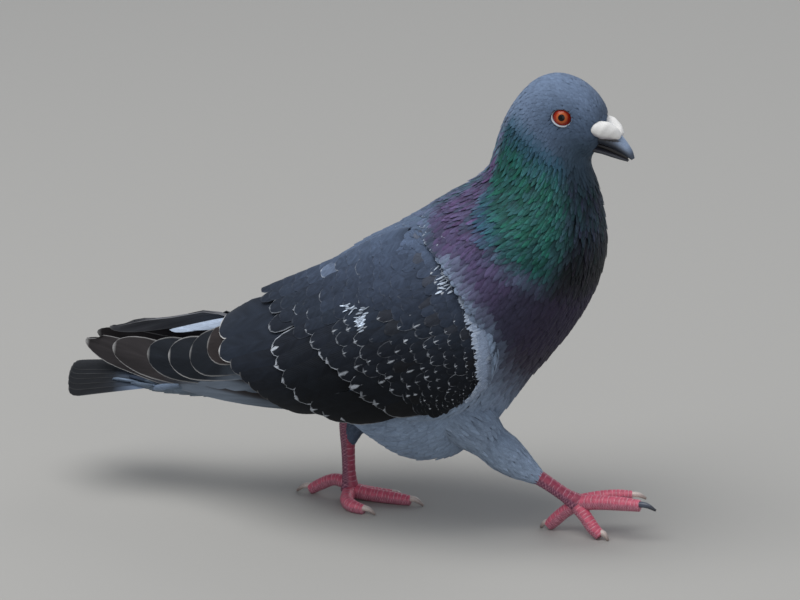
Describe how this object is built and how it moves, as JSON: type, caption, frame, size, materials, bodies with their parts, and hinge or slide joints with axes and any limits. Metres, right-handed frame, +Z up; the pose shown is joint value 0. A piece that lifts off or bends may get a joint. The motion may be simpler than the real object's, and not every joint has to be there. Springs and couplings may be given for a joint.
{
  "type": "feral pigeon",
  "caption": "Life-size still model of a feral rock pigeon in mid step, its front foot just being set down.",
  "frame": {"origin": "middle of the bounding box in plan, on the floor that the bird stands on", "axes": "+X forwards, towards the bill; +Y to the bird's left; +Z up"},
  "size_m": [0.2902, 0.1104, 0.218],
  "materials": {
    "plumage_head": "short blue-grey feathers lying flat",
    "plumage_neck": "narrow iridescent feathers, green above and purple below",
    "plumage_trunk": "soft body feathers, dark on the breast and pale blue-grey on the belly",
    "plumage_rump": "pale grey rump and tail coverts",
    "plumage_coverts": "slate to near-black wing coverts with whitish tips",
    "plumage_flight": "stiff dark flight feathers with thin pale edges",
    "plumage_tail": "stiff slate tail feathers with a blackish end band",
    "plumage_thigh": "short pale blue-grey feathers",
    "eye": "wet eye, orange-red iris and black pupil",
    "bill_horn": "smooth dark horn",
    "cere": "chalky white swollen skin",
    "foot_scales": "pink-red scaled skin with pale scale edges",
    "claw_horn": "smooth pale horn"
  },
  "bodies": {
    "root": {"head": "plumage_head", "neck": "plumage_neck", "trunk": "plumage_trunk", "rump": "plumage_rump", "tail": "plumage_tail", "wing_left_coverts": "plumage_coverts", "wing_left_secondaries": "plumage_flight", "wing_left_primaries": "plumage_flight", "wing_right_coverts": "plumage_coverts", "wing_right_secondaries": "plumage_flight", "wing_right_primaries": "plumage_flight", "eye_left": "eye", "eye_right": "eye", "bill_upper": "bill_horn", "bill_lower": "bill_horn", "cere_left": "cere", "cere_right": "cere", "thigh_left": "plumage_thigh", "thigh_right": "plumage_thigh", "tarsus_left": "foot_scales", "tarsus_right": "foot_scales", "toe_middle_left": "foot_scales", "toe_inner_left": "foot_scales", "toe_outer_left": "foot_scales", "toe_hind_left": "foot_scales", "toe_middle_right": "foot_scales", "toe_inner_right": "foot_scales", "toe_outer_right": "foot_scales", "toe_hind_right": "foot_scales", "claw_middle_left": "claw_horn", "claw_inner_left": "claw_horn", "claw_outer_left": "claw_horn", "claw_hind_left": "claw_horn", "claw_middle_right": "claw_horn", "claw_inner_right": "claw_horn", "claw_outer_right": "claw_horn", "claw_hind_right": "claw_horn"}
  },
  "joints": []
}
